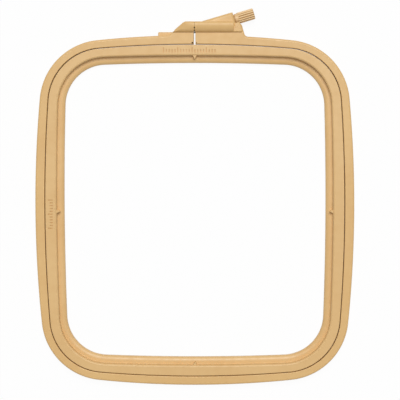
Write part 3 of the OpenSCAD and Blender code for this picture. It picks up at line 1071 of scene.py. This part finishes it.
def ribbedTree():
    # a ribbed circle swept along the knob's axis; the rail's own radius makes the chamfers
    tree, given = newTree("ribbedGrip", {
        "Rail": "Object", "Ribs": "Int", "Steps per rib": "Int", "Rib depth": "Float", "Sharpness": "Float",
        "Material": "Material"})
    rail = addNode(tree, "GeometryNodeObjectInfo", {"Object": given["Rail"]}).outputs["Geometry"]
    count = addNode(tree, "ShaderNodeMath", {0: given["Ribs"], 1: given["Steps per rib"]},
                    operation="MULTIPLY")
    circle = addNode(tree, "GeometryNodeCurvePrimitiveCircle", {
        "Resolution": count.outputs[0], "Radius": 1.0})
    where = addNode(tree, "GeometryNodeInputPosition").outputs[0]
    x, y = addNode(tree, "ShaderNodeSeparateXYZ", {0: where}).outputs[:2]
    angle = addNode(tree, "ShaderNodeMath", {0: y, 1: x}, operation="ARCTAN2")
    wave = addNode(tree, "ShaderNodeMath", {0: angle.outputs[0], 1: given["Ribs"]}, operation="MULTIPLY")
    swing = addNode(tree, "ShaderNodeMath", {0: wave.outputs[0]}, operation="COSINE")
    groove = addNode(tree, "ShaderNodeMapRange", {
        "Value": swing.outputs[0], "From Min": 1.0, "From Max": -1.0})
    sharp = addNode(tree, "ShaderNodeMath", {0: groove.outputs[0], 1: given["Sharpness"]}, operation="POWER")
    cut = addNode(tree, "ShaderNodeMath", {0: sharp.outputs[0], 1: given["Rib depth"]}, operation="MULTIPLY")
    left = addNode(tree, "ShaderNodeMath", {0: 1.0, 1: cut.outputs[0]}, operation="SUBTRACT")
    drawn = addNode(tree, "ShaderNodeVectorMath", {0: where, "Scale": left.outputs[0]}, operation="SCALE")
    profile = addNode(tree, "GeometryNodeSetPosition", {
        "Geometry": circle.outputs[0], "Position": drawn.outputs[0]})
    radius = addNode(tree, "GeometryNodeInputRadius").outputs[0]
    swept = addNode(tree, "GeometryNodeCurveToMesh", {
        "Curve": rail, "Profile Curve": profile.outputs[0], "Scale": radius, "Fill Caps": True})
    endTree(tree, swept.outputs[0], given["Material"])
    return tree


def tighteningKnob():
    # the rail carries the grip's radius from one chamfer to the other
    start = neckEnd + knob["neck"]
    c, length, full = knob["chamfer"], knob["grip"], knob["radius"]
    turns, parts = quarterTurn(knob["chamferSteps"]), knob["lengthSteps"]
    ends = [(c * (1 - math.cos(a)), full - c * (1 - math.sin(a))) for a in turns]
    rail = ends + [(length * i / parts, full) for i in range(1, parts)]
    rail += [(length - at, size) for at, size in reversed(ends)]
    curve = bpy.data.curves.new("gripRail", "CURVE")
    curve.dimensions = "3D"
    spline = curve.splines.new("POLY")
    spline.points.add(len(rail) - 1)
    for point, (at, size) in zip(spline.points, rail):
        point.co = (0, 0, mm(at), 1)
        point.radius = mm(size)
    source = newPiece("gripRail", curve)
    grip = runTree("tighteningKnob", ribbedTree(), {
        "Rail": source, "Ribs": knob["ribs"], "Steps per rib": knob["stepsPerRib"],
        "Rib depth": knob["ribDepth"], "Sharpness": knob["sharpness"], "Material": knobPlastic})
    bpy.data.objects.remove(source)
    grip.data.transform(onScrew @ Matrix.Translation(mm(0, 0, start)))
    cleanShell(grip)
    neck, soft = knob["neckRadius"], knob["neckRound"]
    collar = turned("neck", [(0, neckEnd), (neck - soft, neckEnd), (neck - soft / 3, neckEnd + soft / 3),
                             (neck, neckEnd + soft), (neck, start + past), (0, start + past)], steps=64)
    combine(grip, [collar], "UNION")
    return combine(grip, [rod("seat", outer, neckEnd - past, start + screw["seat"])], "DIFFERENCE")


flatWasher = thrustWasher()
captiveNut = squareNut()
grip = tighteningKnob()
for piece, material in ((shaft, platedSteel), (thread, platedSteel), (shank, platedSteel),
                        (flatWasher, knobPlastic), (captiveNut, platedSteel), (grip, knobPlastic)):
    finishShading(piece, material)


rides = (
    (outerRing, "frame", "ring_plastic", ["outer_ring"]),
    (captiveNut, "frame", "zinc_steel", ["captive_nut"]),
    (innerRing, "fabric_ring", "inner_plastic", ["inner_ring"]),
    (flatWasher, "washer", "knob_plastic", ["thrust_washer"]),
    (shaft, "screw", "zinc_steel", ["clamp_screw"]),
    (thread, "screw", "zinc_steel", []),
    (shank, "screw", "zinc_steel", []),
    (grip, "screw", "knob_plastic", ["tightening_knob"]),
)
for piece, body, slotName, nodes in rides:
    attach(piece, body)
    for node in nodes:
        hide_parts(node)
